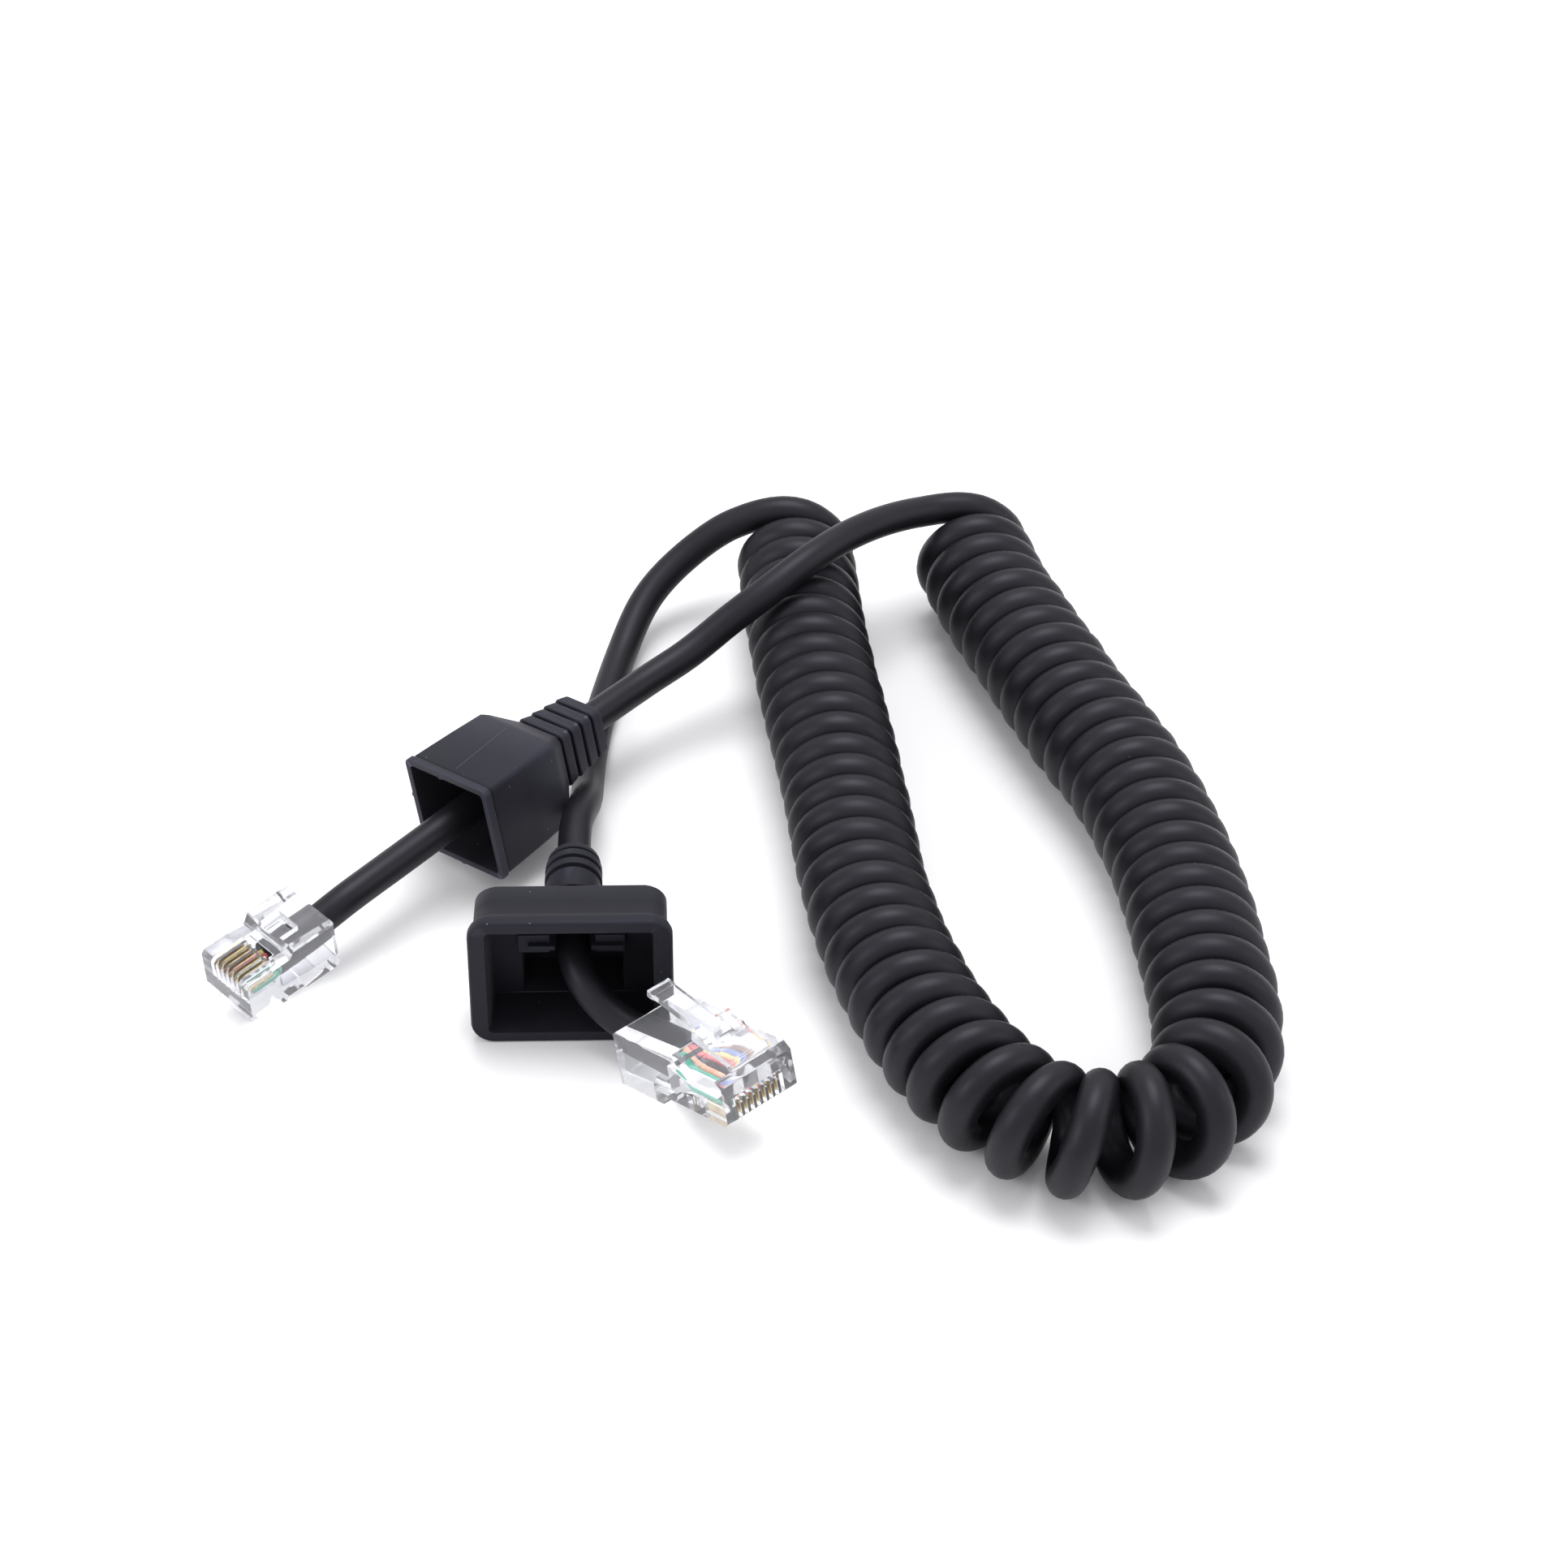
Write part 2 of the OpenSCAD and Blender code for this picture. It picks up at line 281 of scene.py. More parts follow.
lead_b = curve_through(
    [(7, 63.4, 14.9), (0, 63.8, 14), (-7.4, 61.6, 9.8), (-13.6, 56, 6), (-16.8, 48, 2.8),
     (-18.6, 40, 2.2), (-20.1, 31, 2.2), (-20.8, 23, 2.3), (-20.9, 16, 3.6), (-20.8, 9.4, 6.6),
     (-21.5, 3.8, 9.1)]
    + [along(MOUTH_B, BOOT_B_LIE, s) for s in (31.5, 27, 19, 9.5)]
    + [(-21.1, -26.8, 9.1), (-19.4, -29.7, 7.3), (-17, -31.8, 5.5), (-14.2, -33.6, 4.4),
       ENTRY_B, along(ENTRY_B, LIE_B, JACKET_B)],
    LEAD_STEP)
for _ in range(EASING_PASSES):
    lead_b[1:-1] = (lead_b[:-2] + 2 * lead_b[1:-1] + lead_b[2:]) / 4


def wound_strand():
    """The strand's own path: close-wound turns along the arms, fanned apart round the bend."""
    steps = np.linalg.norm(np.diff(coil_axis, axis=0), axis=1)
    s = np.concatenate([[0], np.cumsum(steps)])
    # spacing of the turns, in mm, against distance along the coil
    pitch = np.interp(s, [0, 92, 112, 128, 150, 164, 178, s[-1]],
                      [4.5, 4.62, 5.55, 6.9, 6.95, 5.5, 4.6, 4.6])
    phase = np.concatenate([[0], np.cumsum(steps / ((pitch[1:] + pitch[:-1]) / 2))])
    phase *= TURNS / phase[-1]
    # each turn sits a little in or out of line with its neighbours, but not at the coil's ends
    uneven = np.array([rng.uniform(-1, 1) for _ in range(TURNS * 2 + 2)])
    turn = np.linspace(0, TURNS, TURNS * STEPS_PER_TURN + 1)
    wander = np.interp(turn * 2, range(TURNS * 2 + 2), uneven)
    wander *= np.clip(turn / 0.5, 0, 1) * np.clip((TURNS - turn) / 0.5, 0, 1)
    radius = COIL_R - STRAND_R - 0.11 + WANDER * wander  # 0.11 keeps the turns inside COIL_R
    at = np.interp(turn, phase, s)
    centre = np.stack([np.interp(at, s, coil_axis[:, i]) for i in range(3)], 1)
    ahead = np.gradient(centre, axis=0)
    ahead /= np.linalg.norm(ahead, axis=1)[:, None]
    up, inward = np.array((0, 0, 1.0)), np.cross((0, 0, 1.0), ahead)
    angle = 2 * math.pi * turn
    return centre + radius[:, None] * (
        np.cos(angle)[:, None] * up + np.sin(angle)[:, None] * inward
    )


def bridge(before, start, end, after):
    """Points of a smooth bend that leaves start and meets end without a kink."""
    reach = 0.4 * np.linalg.norm(end - start)
    leave = start + reach * (start - before) / np.linalg.norm(start - before)
    meet = end - reach * (after - end) / np.linalg.norm(after - end)
    t = np.linspace(0, 1, int(2.5 * reach / LEAD_STEP) + 2)[1:-1, None]
    return ((1 - t) ** 3 * start + 3 * t * (1 - t) ** 2 * leave
            + 3 * t ** 2 * (1 - t) * meet + t ** 3 * end)


# Points left off a lead's and the strand's ends, to make room for the bend that joins them
CUT_LEAD, CUT_STRAND = 10, 5
strand = wound_strand()[CUT_STRAND:-CUT_STRAND]
from_b, to_a = lead_b[::-1][:-CUT_LEAD], lead_a[::-1][CUT_LEAD:]
onto_coil = bridge(from_b[-2], from_b[-1], strand[0], strand[1])
off_coil = bridge(strand[-2], strand[-1], to_a[0], to_a[1])
path = np.vstack([from_b, onto_coil, strand, off_coil, to_a])
first = len(from_b) + len(onto_coil)
last = first + len(strand)
radii = np.full(len(path), LEAD_R)
radii[first:last] = STRAND_R
for _ in range(TAPER_PASSES):
    radii[1:-1] = (radii[:-2] + radii[2:]) / 2
cord = sweep("cord", path, radii)
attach(cord, "cord_set")
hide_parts("coil", "lead_a", "lead_b")


# ---------------------------------------------------------------- square boot on lead A

def square_boot():
    """Tapered square hood with a raised lip, a sloped shoulder and a four-step tail."""
    outer = [(0, 15.6, 14.8, 1.0), (1.0, 15.6, 14.8, 1.0), (1.25, 15.1, 14.3, 0.9),
             (1.7, 15.2, 14.4, 0.9), (8, 14.85, 14.05, 1.0), (13.3, 14.5, 13.7, 1.2),
             (14.0, 13.9, 13.1, 1.5), (16.9, 8.9, 8.9, 1.4), (17.2, 8.5, 8.5, 1.2)]
    # one step of the tail: distance along it, change of width, corner radius
    step = ((0, -0.95, 0.8), (0.16, -0.95, 0.8), (0.3, -0.1, 0.9),
            (0.5, 0.1, 0.9), (1.2, -0.15, 0.9), (2.0, -0.45, 0.9))
    tail_start, step_length, tail_width, step_taper = 17.25, 2.13, 8.5, 0.35
    tail = []
    for i in range(4):
        at, w = tail_start + i * step_length, tail_width - i * step_taper
        tail += [(at + on, w + swell, w + swell, r) for on, swell, r in step]
    inner = [(25.8, 4.9, 4.9, 2.45), (14.0, 4.9, 4.9, 2.45), (13.2, 7.4, 7.4, 2.4),
             (12.6, 12.4, 11.6, 0.7), (6, 13.1, 12.3, 0.6), (0.5, 13.5, 12.7, 0.5),
             (0, 13.8, 13.0, 0.6)]
    boot = loft("boot_a_moulding", outer + tail + inner)
    soften_edges(boot, 0.16, 40)
    # mould marks: the parting line on top and the gate nubs round the lip
    line = boxes("mark", [[
        (2.0, -0.30, 7.10), (12.6, 0.80, 6.78), (12.6, 0.96, 6.78), (2.0, -0.14, 7.10),
        (2.0, -0.30, 7.27), (12.6, 0.80, 6.93), (12.6, 0.96, 6.93), (2.0, -0.14, 7.27),
    ]])
    nubs = []
    for x, y, z, size in ((0.5, 7.8, 1.1, 0.5), (0.6, 0.5, -7.4, 0.55),
                          (0.5, 2.2, -7.4, 0.4), (0.5, 1.2, 6.5, 0.5)):
        nub = bmesh.new()
        bmesh.ops.create_icosphere(nub, subdivisions=3, radius=size * MM)
        bmesh.ops.translate(nub, verts=nub.verts, vec=Vector((x, y, z)) * MM)
        mesh = bpy.data.meshes.new("nub")
        nub.to_mesh(mesh)
        nub.free()
        nubs.append(bpy.data.objects.new("nub", mesh))
    join(boot, line, *nubs)
    shade_smooth(boot)
    return place(boot, MOUTH_A, BOOT_A_LIE)


def wide_boot():
    """Wide rounded hood behind a flange, a walled hollow with a pocket, and a ringed neck."""
    drop = -2.3  # the hump behind the hood and its pocket sit this far below the cord's axis
    outer = [(0, 25.9, 19.9, 2.9), (0.15, 26.2, 20.2, 3.0), (0.5, 26.4, 20.4, 3.1),
             (1.5, 26.4, 20.4, 3.1), (2.0, 26.1, 20.1, 3.0), (2.4, 25.5, 19.5, 2.9),
             (2.9, 25.0, 19.0, 2.8), (5.5, 24.9, 18.8, 2.8), (8.3, 24.8, 18.7, 2.9),
             (8.75, 24.2, 18.1, 2.8), (8.8, 15.8, 13.4, 1.6, 0, drop),
             (14.0, 15.4, 12.9, 1.6, 0, drop), (15.3, 13.4, 10.4, 1.5, 0, drop)]
    # the neck is round: distance, width and corner radius
    neck = [(at, w, w, r) for at, w, r in (
        (15.35, 7.3, 3.65), (18.9, 7.3, 3.65), (19.05, 6.6, 3.3), (19.35, 6.6, 3.3),
        (19.55, 7.65, 3.82), (20.7, 7.6, 3.8), (20.9, 6.6, 3.3), (21.2, 6.6, 3.3),
        (21.4, 7.6, 3.8), (22.5, 7.5, 3.75), (22.7, 6.6, 3.3), (22.95, 6.6, 3.3),
        (23.1, 7.2, 3.6), (23.8, 7.0, 3.5), (24.2, 6.6, 3.3), (24.4, 5.8, 2.9))]
    inner = [(24.4, 4.9, 4.9, 2.45), (14.3, 4.9, 4.9, 2.45), (14.2, 13.2, 11.4, 0.4, 0, drop),
             (7.5, 13.2, 11.4, 0.4, 0, drop), (7.4, 21.0, 16.3, 0.5), (0.9, 21.3, 16.5, 0.5),
             (0, 21.9, 17.0, 0.7)]
    boot = loft("boot_b_moulding", outer + neck + inner)
    soften_edges(boot, 0.18, 40)
    # two hooked ledges at the top corners of the pocket's mouth
    ledges = boxes("ledge", [
        box_points(6.2, 9.4, 2.9, 6.9, -0.1, 2.8), box_points(6.2, 9.4, -6.9, -3.1, -0.1, 2.8),
        box_points(5.4, 6.4, 2.2, 5.6, 0.9, 1.6), box_points(5.4, 6.4, -6.6, -2.6, 0.9, 1.6),
    ])
    join(boot, ledges)
    shade_smooth(boot)
    return place(boot, MOUTH_B, BOOT_B_LIE)


boot_a = square_boot()
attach(boot_a, "boot_a")
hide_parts("boot_a")
boot_b = wide_boot()
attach(boot_b, "boot_b")
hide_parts("boot_b")


# ---------------------------------------------------------------- clear plugs

PITCH, BLADE_LENGTH = 1.02, 4.4  # the blades' spacing and their length
TOP_Z = 6.6  # the top of a housing
HINGE_Z, BARREL_R = TOP_Z + 0.12 + 0.65, 0.64  # the barrel lies just clear of the housing
ARM_HALF, SLOT_HALF, BLADE_HALF = 0.45, 0.3, 0.16  # half thicknesses
WIRE_R, COPPER_R = 0.46, 0.24
LONG_PLUG = 18  # a housing longer than this has its window over the wires a little wider


def way_y(ways, i):
    """How far to the side a numbered contact lies."""
    return (i - (ways - 1) / 2) * PITCH


def fan_ends_at(l, jacket):
    """Where the spread-out wires reach their channels."""
    return max(jacket + 1.5, l - 7.5)


def housing(name, w, l, ways, jacket, block_l):
    """Clear moulded housing, stepped outside, hollow for the jacket, the wires and the blades."""
    body = extruded(name, [
        (0, -1.4), (block_l - 0.7, -1.4), (block_l, -0.1), (block_l + 0.1, 0), (l - 0.5, 0),
        (l, 0.5), (l, 5.7), (l - 0.7, 6.2), (l - 1.0, TOP_Z), (l - 5.6, TOP_Z), (l - 6.0, 6.1),
        (l - 8.6, 6.1), (l - 9.0, TOP_Z), (0.5, TOP_Z), (0, 6.2),
    ], -(w / 2), w / 2)
    throat = jacket + 0.8
    tunnel = boxes("tunnel", [[
        (-1, -3.5, 0.0), (throat, -2.7, 0.3), (throat, 2.7, 0.3), (-1, 3.5, 0.0),
        (-1, -3.5, 5.4), (throat, -2.7, 5.0), (throat, 2.7, 5.0), (-1, 3.5, 5.4),
    ]])
    spread = ways * PITCH / 2 + 0.05
    fan, fan_end = jacket + 0.7, fan_ends_at(l, jacket)
    # where the wires spread out, and where they run side by side to the nose
    wedge = boxes("wedge", [[
        (fan, -spread, 0.8), (fan_end, -spread, 1.95), (fan_end, spread, 1.95), (fan, spread, 0.8),
        (fan, -spread, 4.6), (fan_end, -spread, 3.25), (fan_end, spread, 3.25), (fan, spread, 4.6),
    ]])
    channel = boxes("channel", [box_points(fan_end - 0.1, l - 1.2, -spread, spread, 1.97, 3.23)])
    # windows on the contact side: over the crimp wedge and over the wires
    back, front = (1.2, 0.2) if l < LONG_PLUG else (1.6, 0.5)
    windows = boxes("windows", [
        box_points(jacket - 4.4, jacket - 1.2, -1.9, 1.9, -2.4, 0.4),
        box_points(fan_end - back, fan_end - front, -spread + 0.6, spread - 0.6, -2.4, 1.2),
    ])
    sides = [(way_y(ways, i) - SLOT_HALF, way_y(ways, i) + SLOT_HALF) for i in range(ways)]
    slots = boxes("slots", [box_points(l - BLADE_LENGTH - 1.0, l + 1, *y, -1, 2.1) for y in sides])
    ports = boxes("ports", [box_points(l - 1.3, l + 1, *y, 1.6, 3.2) for y in sides])
    for hollow in (tunnel, wedge, channel, windows, slots, ports):
        combine(body, hollow, "DIFFERENCE")
    shade_smooth(body)
    return soften_edges(body, 0.13)


def lever(name, l, tip, reach, finger_end, catch_height):
    """Latch: root barrel, wide shoulder with its catch, and a narrow finger with a thicker end."""
    shoulder, half_end = reach * 0.42, finger_end / 2
    plan = [(0.25, -3.1), (0.25, 3.1), (-shoulder, 3.1), (-shoulder - 0.9, 1.65),
            (-reach + 1.6, 1.65), (-reach + 1.2, half_end), (-reach, half_end),
            (-reach, -half_end), (-reach + 1.2, -half_end), (-reach + 1.6, -1.65),
            (-shoulder - 0.9, -1.65), (-shoulder, -3.1)]
    arm = prism(name, [(x, y, -ARM_HALF) for x, y in plan], [(x, y, ARM_HALF) for x, y in plan])
    for side in (-1, 1):
        catch = extruded("catch", [
            (-shoulder + 0.02, 0.3), (-shoulder + 0.02, 0.4 + catch_height),
            (-shoulder + 0.7, 0.35 + catch_height), (-shoulder + 3.4, 0.4), (-shoulder + 3.4, 0.3),
        ], *sorted((side * 1.5, side * 3.08)))
        combine(arm, catch, "UNION")
    end = boxes("end", [
        box_points(-reach + 0.02, -reach + 0.9, -half_end + 0.05, half_end - 0.05, -0.62, 0.2)
    ])
    combine(arm, end, "UNION")
    arm.data.transform(Matrix.Rotation(math.radians(tip), 4, "Y"))
    turns = [2 * math.pi * k / 24 for k in range(24)]
    round_bar = [(BARREL_R * math.cos(a), BARREL_R * math.sin(a)) for a in turns]
    combine(arm, extruded("barrel", round_bar, -3.25, 3.25), "UNION")
    arm.data.transform(Matrix.Translation(Vector((l - 1, 0, HINGE_Z)) * MM))
    shade_smooth(arm)
    return soften_edges(arm, 0.12)


def blades(name, l, ways):
    """Gold blades with a rounded nose corner and two teeth that bite the wires."""
    x0 = l - BLADE_LENGTH - 0.6
    x1 = x0 + BLADE_LENGTH
    outline = [(x0, 0.35), (x1 - 0.7, 0.35), (x1 - 0.2, 0.55), (x1, 1.0), (x1, 1.98),
               (x0 + 3.3, 1.98), (x0 + 3.0, 2.5), (x0 + 2.7, 1.98),
               (x0 + 1.7, 1.98), (x0 + 1.4, 2.5), (x0 + 1.1, 1.98), (x0, 1.98)]
    parts = []
    for i in range(ways):
        y = way_y(ways, i)
        parts.append(extruded(f"{name}_{i}", outline, y - BLADE_HALF, y + BLADE_HALF))
    whole = join(*parts)
    whole.name = name
    return soften_edges(whole, 0.05, 30)


def wire(name, l, ways, jacket, i, bulge, sag):
    """One insulated conductor: out of the jacket's end, fanned to its place and on to the nose."""
    y = way_y(ways, i)
    start = (jacket - 0.3, 0.4 * y, AXIS_Z + (0.45 if i % 2 else -0.45))
    fan_end = fan_ends_at(l, jacket)
    mid = (jacket + (fan_end - jacket) * 0.45, (start[1] + y) / 2 + bulge,
           AXIS_Z + (start[2] - AXIS_Z) * 0.5 + sag)
    straight = [(x, y, AXIS_Z) for x in (fan_end, fan_end + 2, l - 1.5)]
    points = curve_through([start, mid] + straight, 0.25)
    return sweep(name, points, np.full(len(points), WIRE_R), 14)


def bare_end(name, l, ways):
    """The cut copper ends of the conductors, just inside the nose."""
    parts = []
    for i in range(ways):
        y = way_y(ways, i)
        points = [(x, y, AXIS_Z) for x in (l - 1.55, l - 1.4, l - 1.27)]
        parts.append(sweep(f"{name}_{i}", points, [COPPER_R] * 3, 10))
    whole = join(*parts)
    whole.name = name
    return whole


def crimp_wedge(name, jacket):
    """The bar pushed through the window onto the jacket, with a sloped back."""
    bar = extruded(name, [
        (jacket - 4.2, 0.25), (jacket - 3.8, 0.05), (jacket - 1.8, 0.05), (jacket - 1.4, 0.2),
        (jacket - 1.4, 0.38), (jacket - 4.2, 0.38),
    ], -1.7, 1.7)
    shade_smooth(bar)
    return soften_edges(bar, 0.1)


WIRES_A = ("green", "white", "red", "black", "yellow", "blue")
WIRES_B = ("green", "orange", "black", "red", "yellow", "blue", "brown", "white")
plug_pieces = {"a": [], "b": []}
# Each plug: where it lies, its width and length, its wires, how far in the jacket ends, how long
# its thick block is, then the latch's tilt, reach, width at the end and height of the catch
for end, entry, lie, w, l, colours, jacket, block_l, tip, reach, finger_end, catch_height in (
    ("a", ENTRY_A, LIE_A, 9.65, 14.6, WIRES_A, JACKET_A, 7.3, 8, 11.4, 3.3, 0.3),
    ("b", ENTRY_B, LIE_B, 11.7, 21.5, WIRES_B, JACKET_B, 9.0, 14, 17.4, 3.6, 0.95),
):
    ways = len(colours)
    made = [
        (housing(f"plug_{end}_housing", w, l, ways, jacket, block_l),
         f"plug_{end}_body", "clear_plastic"),
        (lever(f"plug_{end}_lever", l, tip, reach, finger_end, catch_height),
         f"plug_{end}_latch", "clear_plastic"),
        (blades(f"plug_{end}_blades", l, ways), f"plug_{end}_contacts", "gold_contact"),
        (crimp_wedge(f"plug_{end}_wedge", jacket), f"plug_{end}_crimp_bar", "clear_plastic"),
    ]
    for i, colour in enumerate(colours):
        bulge, sag = rng.uniform(-0.15, 0.15), rng.uniform(-0.15, 0.3)
        if colour == "green":  # the outermost wire stands out to the side and up
            bulge, sag = (-0.5, 0.2) if end == "a" else (-0.5, 1.5)
        made.append((wire(f"conductor_{end}_{colour}", l, ways, jacket, i, bulge, sag),
                     f"wire_{end}_{colour}", f"insulation_{colour}"))
    copper = bare_end(f"plug_{end}_copper", l, ways)
    for piece, node, slot in made:
        place(piece, entry, lie, AXIS_Z)
        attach(piece, f"latch_{end}" if node.endswith("latch") else "cord_set")
        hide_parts(node)
        if slot == "clear_plastic":
            piece.visible_shadow = False  # clear plastic lets nearly all the light through
        plug_pieces[end].append(piece)
    place(copper, entry, lie, AXIS_Z)
    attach(copper, "cord_set")
    plug_pieces[end].append(copper)


# ---------------------------------------------------------------- finishes

def linear(hex_colour):
    """An sRGB hex colour as linear RGBA."""
    channels = [int(hex_colour[i:i + 2], 16) / 255 for i in (1, 3, 5)]
    return tuple(
        c / 12.92 if c <= 0.04045 else ((c + 0.055) / 1.055) ** 2.4 for c in channels
    ) + (1.0,)


def add(material, kind, settings=(), links=()):
    """Adds one node. settings are (input or property, value); links are (input, output socket)."""
    node = material.node_tree.nodes.new(kind)
    for key, value in settings:
        if isinstance(key, int) or key in node.inputs:
            node.inputs[key].default_value = value
        else:
            owner, _, prop = key.rpartition(".")
            setattr(node.path_resolve(owner) if owner else node, prop, value)
    for key, socket in links:
        material.node_tree.links.new(socket, node.inputs[key])
    return node


def stops(low_at, low, high_at, high):
    """A colour ramp's settings: two colours, each with the pattern's strength it belongs to."""
    return [
        ("color_ramp.elements[0].position", low_at),
        ("color_ramp.elements[0].color", linear(low)),
        ("color_ramp.elements[1].position", high_at),
        ("color_ramp.elements[1].color", linear(high)),
    ]


def per_metre(size_mm):
    """Pattern scale that repeats at a real size."""
    return 1 / (size_mm * MM)


def finish_base(name, **sockets):
    """A new material with its shader's own sockets set, and the piece's own axes for patterns."""
    material = bpy.data.materials.new(name)
    material.use_nodes = True
    shader = material.node_tree.nodes["Principled BSDF"]
    for key, value in sockets.items():
        shader.inputs[key.replace("_", " ")].default_value = value
    return material, shader, add(material, "ShaderNodeTexCoord").outputs["Object"]


def feed(material, shader, **sources):
    """Links outputs to the shader's own sockets."""
    for key, socket in sources.items():
        material.node_tree.links.new(socket, shader.inputs[key.replace("_", " ")])
    return material


def black_jacket():
    """Extruded flexible PVC: charcoal black, satin, faint drawn streaks and handling haze."""
    material, shader, at = finish_base("pvc_jacket_extruded", Metallic=0.0, IOR=1.53,
                                       Specular_IOR_Level=0.29, Specular_Tint=linear("#f0efff"))
    haze = add(material, "ShaderNodeTexNoise",
               [("Scale", per_metre(9)), ("Detail", 4.0), ("Roughness", 0.6)], [("Vector", at)])
    grain = add(material, "ShaderNodeTexNoise",
                [("Scale", per_metre(0.35)), ("Detail", 3.0)], [("Vector", at)])
    tone = add(material, "ShaderNodeValToRGB", stops(0.25, "#0e0e11", 0.8, "#18181c"),
               [("Fac", haze.outputs["Fac"])])
    gloss = add(material, "ShaderNodeMapRange",
                [("From Min", 0.2), ("From Max", 0.8), ("To Min", 0.4), ("To Max", 0.52)],
                [("Value", haze.outputs["Fac"])])
    bump = add(material, "ShaderNodeBump", [("Strength", 0.12), ("Distance", 0.00003)],
               [("Height", grain.outputs["Fac"])])
    # lint and dust specks, well under a millimetre, here and there
    dust = add(material, "ShaderNodeTexVoronoi",
               [("Scale", per_metre(3.2)), ("Randomness", 1.0)], [("Vector", at)])
    speck = add(material, "ShaderNodeMath", [("operation", "LESS_THAN"), (1, 0.022)],
                [(0, dust.outputs["Distance"])])
    colour = add(material, "ShaderNodeMix", [("data_type", "RGBA"), (7, linear("#6f6f76"))],
                 [("Factor", speck.outputs[0]), (6, tone.outputs["Color"])])
    return feed(material, shader, Base_Color=colour.outputs[2],
                Roughness=gloss.outputs["Result"], Normal=bump.outputs["Normal"])


def moulded_rubber(name, edge_highlight_strength):
    """Injection-moulded soft rubber: dull black, fine spark-eroded grain, painted edge highlights,
    dusty.
    """
    material, shader, at = finish_base(name, Metallic=0.0, IOR=1.52, Specular_IOR_Level=0.19,
                                       Sheen_Weight=0.04, Specular_Tint=linear("#e6e4ff"),
                                       Sheen_Roughness=0.6)
    blotch = add(material, "ShaderNodeTexNoise",
                 [("Scale", per_metre(6)), ("Detail", 5.0), ("Roughness", 0.62)], [("Vector", at)])
    grain = add(material, "ShaderNodeTexNoise",
                [("Scale", per_metre(0.25)), ("Detail", 2.0)], [("Vector", at)])
    tone = add(material, "ShaderNodeValToRGB", stops(0.3, "#101015", 0.75, "#18181f"),
               [("Fac", blotch.outputs["Fac"])])
    # painted highlight: the sharpest edges, found by pointiness, are lifted towards a pale
    # lavender grey as though they caught the light
    edge = add(material, "ShaderNodeNewGeometry")
    painted_edge_highlight = add(material, "ShaderNodeMapRange",
               [("From Min", 0.515), ("From Max", 0.6), ("To Min", 0.0), ("To Max", edge_highlight_strength)],
               [("Value", edge.outputs["Pointiness"])])
    colour = add(material, "ShaderNodeMix", [("data_type", "RGBA"), (7, linear("#5c5c6c"))],
                 [("Factor", painted_edge_highlight.outputs["Result"]), (6, tone.outputs["Color"])])
    dust = add(material, "ShaderNodeTexVoronoi",
               [("Scale", per_metre(2.4)), ("Randomness", 1.0)], [("Vector", at)])
    speck = add(material, "ShaderNodeMath", [("operation", "LESS_THAN"), (1, 0.035)],
                [(0, dust.outputs["Distance"])])
    # dust specks laid over the tone and the painted edge highlight
    dust_and_highlight = add(material, "ShaderNodeMix", [("data_type", "RGBA"), (7, linear("#77777e"))],
                [("Factor", speck.outputs[0]), (6, colour.outputs[2])])
    rough = add(material, "ShaderNodeMapRange", [("To Min", 0.5), ("To Max", 0.64)],
                [("Value", blotch.outputs["Fac"])])
    bump = add(material, "ShaderNodeBump", [("Strength", 0.25), ("Distance", 0.00004)],
               [("Height", grain.outputs["Fac"])])
    return feed(material, shader, Base_Color=dust_and_highlight.outputs[2],
                Roughness=rough.outputs["Result"], Normal=bump.outputs["Normal"])


def clear_polycarbonate():
    """Injection-moulded polycarbonate: water clear, glossy, faint flow ripples, handling marks."""
    material, shader, at = finish_base("clear_polycarbonate", Metallic=0.0, IOR=1.47,
                                       Transmission_Weight=0.95, Specular_IOR_Level=0.4)
    flow = add(material, "ShaderNodeTexNoise",
               [("Scale", per_metre(2.5)), ("Detail", 2.0)], [("Vector", at)])
    tone = add(material, "ShaderNodeValToRGB", stops(0.3, "#f4f5f9", 0.7, "#fdfdff"),
               [("Fac", flow.outputs["Fac"])])
    rough = add(material, "ShaderNodeMapRange", [("To Min", 0.01), ("To Max", 0.06)],
                [("Value", flow.outputs["Fac"])])
    bump = add(material, "ShaderNodeBump", [("Strength", 0.08), ("Distance", 0.0001)],
               [("Height", flow.outputs["Fac"])])
    return feed(material, shader, Base_Color=tone.outputs["Color"],
                Roughness=rough.outputs["Result"], Normal=bump.outputs["Normal"])


def plated(name, low, high, rough_low, rough_high):
    """Metal with a drawn or stamped surface, uneven in tone."""
    material, shader, at = finish_base(name, Metallic=1.0)
    scuffs = add(material, "ShaderNodeTexNoise",
                 [("Scale", per_metre(0.8)), ("Detail", 3.0)], [("Vector", at)])
    tone = add(material, "ShaderNodeValToRGB", stops(0.35, low, 0.7, high),
               [("Fac", scuffs.outputs["Fac"])])
    rough = add(material, "ShaderNodeMapRange", [("To Min", rough_low), ("To Max", rough_high)],
                [("Value", scuffs.outputs["Fac"])])
    return feed(material, shader, Base_Color=tone.outputs["Color"],
                Roughness=rough.outputs["Result"])


def insulation(name, low, high):
    """Extruded PVC insulation: solid colour, slightly glossy, a little uneven."""
    material, shader, at = finish_base(name, Metallic=0.0, IOR=1.53)
    uneven = add(material, "ShaderNodeTexNoise",
                 [("Scale", per_metre(1.2)), ("Detail", 3.0)], [("Vector", at)])
    tone = add(material, "ShaderNodeValToRGB", stops(0.3, low, 0.7, high),
               [("Fac", uneven.outputs["Fac"])])
    rough = add(material, "ShaderNodeMapRange", [("To Min", 0.3), ("To Max", 0.42)],
                [("Value", uneven.outputs["Fac"])])
    return feed(material, shader, Base_Color=tone.outputs["Color"],
                Roughness=rough.outputs["Result"])


def wear(piece, material):
    """Gives a piece its one finish."""
    piece.data.materials.clear()
    piece.data.materials.append(material)


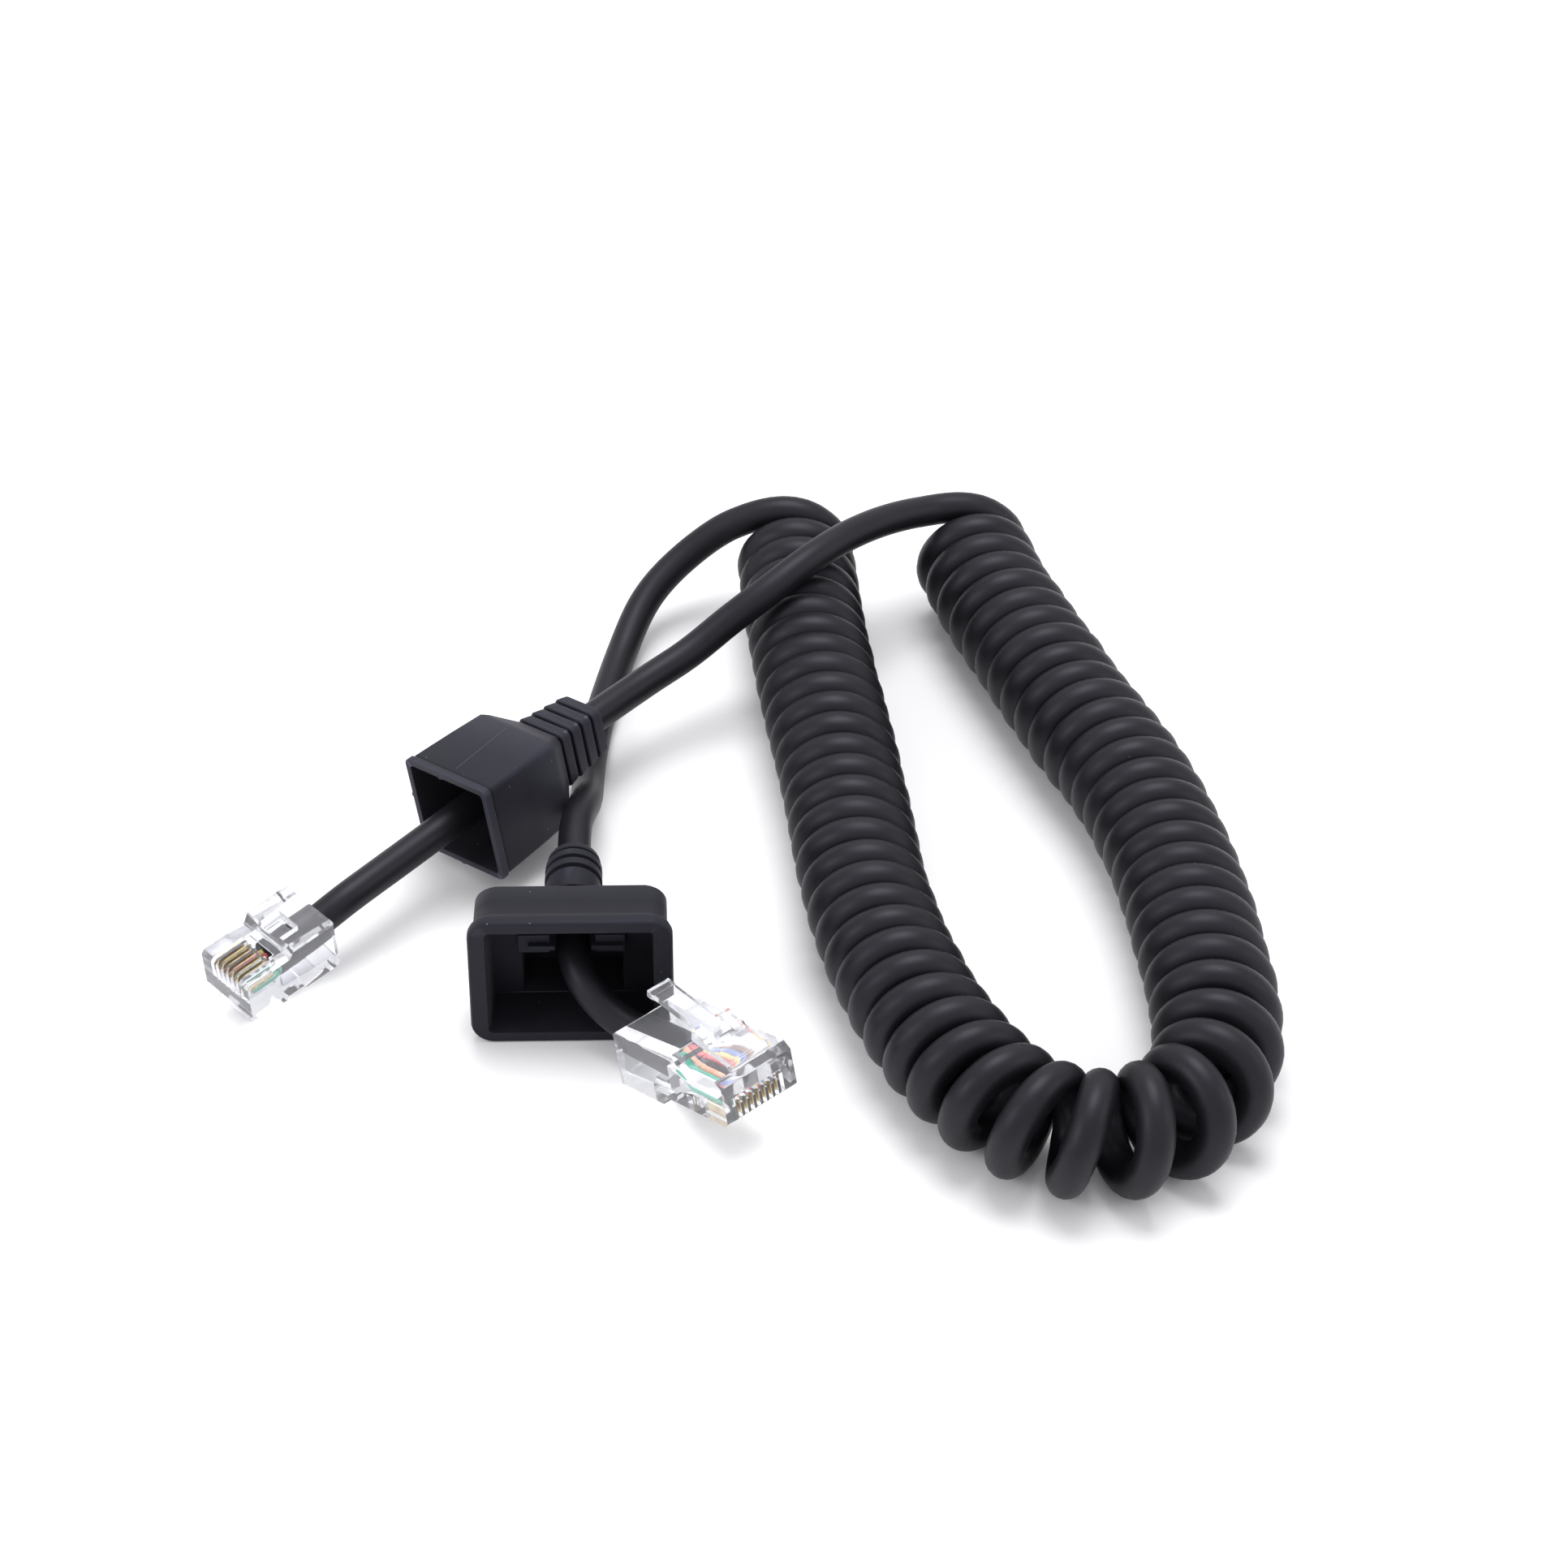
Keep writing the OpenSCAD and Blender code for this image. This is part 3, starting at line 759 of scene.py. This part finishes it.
jacket_finish, clear_finish = black_jacket(), clear_polycarbonate()
gold_finish = plated("gold_plated_blade", "#cdb68a", "#efe0bb", 0.25, 0.4)
copper_finish = plated("cut_copper", "#b5683f", "#e39a6a", 0.25, 0.4)
wire_finish = {
    colour: insulation(f"insulation_{colour}", low, high) for colour, low, high in (
        ("white", "#d9d7d2", "#f0efec"), ("black", "#131315", "#1f1f22"),
        ("red", "#c04a50", "#d8666a"), ("green", "#2f937a", "#48ad94"),
        ("yellow", "#d8be62", "#e8d688"), ("blue", "#5a74b8", "#7b90cc"),
        ("orange", "#dc9070", "#ecae90"), ("brown", "#7c5a44", "#94705a"),
    )
}
wear(cord, jacket_finish)
# boot A's edges get a strong painted highlight, boot B's only a faint one
wear(boot_a, moulded_rubber("moulded_rubber_worn", 0.6))
wear(boot_b, moulded_rubber("moulded_rubber", 0.12))
for pieces in plug_pieces.values():
    for piece in pieces:
        if "blades" in piece.name:
            wear(piece, gold_finish)
        elif "copper" in piece.name:
            wear(piece, copper_finish)
        elif piece.name.startswith("conductor"):
            wear(piece, wire_finish[piece.name.rsplit("_", 1)[1]])
        else:
            wear(piece, clear_finish)


# ---------------------------------------------------------------- floor and light

FLOOR = 3000  # half the floor's width
floor_finish, floor_shader, floor_at = finish_base("pale_paper_sweep", Roughness=0.9, IOR=1.45)
fibre = add(floor_finish, "ShaderNodeTexNoise", [("Scale", per_metre(40)), ("Detail", 2.0)],
            [("Vector", floor_at)])
floor_tone = add(floor_finish, "ShaderNodeValToRGB", stops(0.3, "#f7f7f7", 0.7, "#fafafa"),
                 [("Fac", fibre.outputs["Fac"])])
feed(floor_finish, floor_shader, Base_Color=floor_tone.outputs["Color"])
floor = mesh_object("floor", [(-FLOOR, -FLOOR, 0), (FLOOR, -FLOOR, 0), (FLOOR, FLOOR, 0),
                              (-FLOOR, FLOOR, 0)], [(0, 1, 2, 3)])
wear(floor, floor_finish)

world = bpy.data.worlds.new("studio")
world.use_nodes = True
world.node_tree.nodes["Background"].inputs["Color"].default_value = linear("#fbfbff")
world.node_tree.nodes["Background"].inputs["Strength"].default_value = 0.88
scene.world = world


def soft_light(name, at, size, power):
    """A round white lamp that faces the middle of the cord."""
    lamp = bpy.data.lights.new(name, "AREA")
    lamp.shape, lamp.size, lamp.energy = "DISK", size, power
    holder = bpy.data.objects.new(name, lamp)
    holder.location = at
    holder.rotation_euler = (-Vector(at)).to_track_quat("-Z", "Y").to_euler()
    scene.collection.objects.link(holder)


soft_light("overhead", (0.05, 0.25, 0.9), 0.6, 5.5)
soft_light("left", (-0.8, -0.35, 0.6), 0.4, 2.2)
soft_light("right", (0.9, -0.1, 0.5), 0.4, 0.8)
scene.view_settings.view_transform = "Standard"
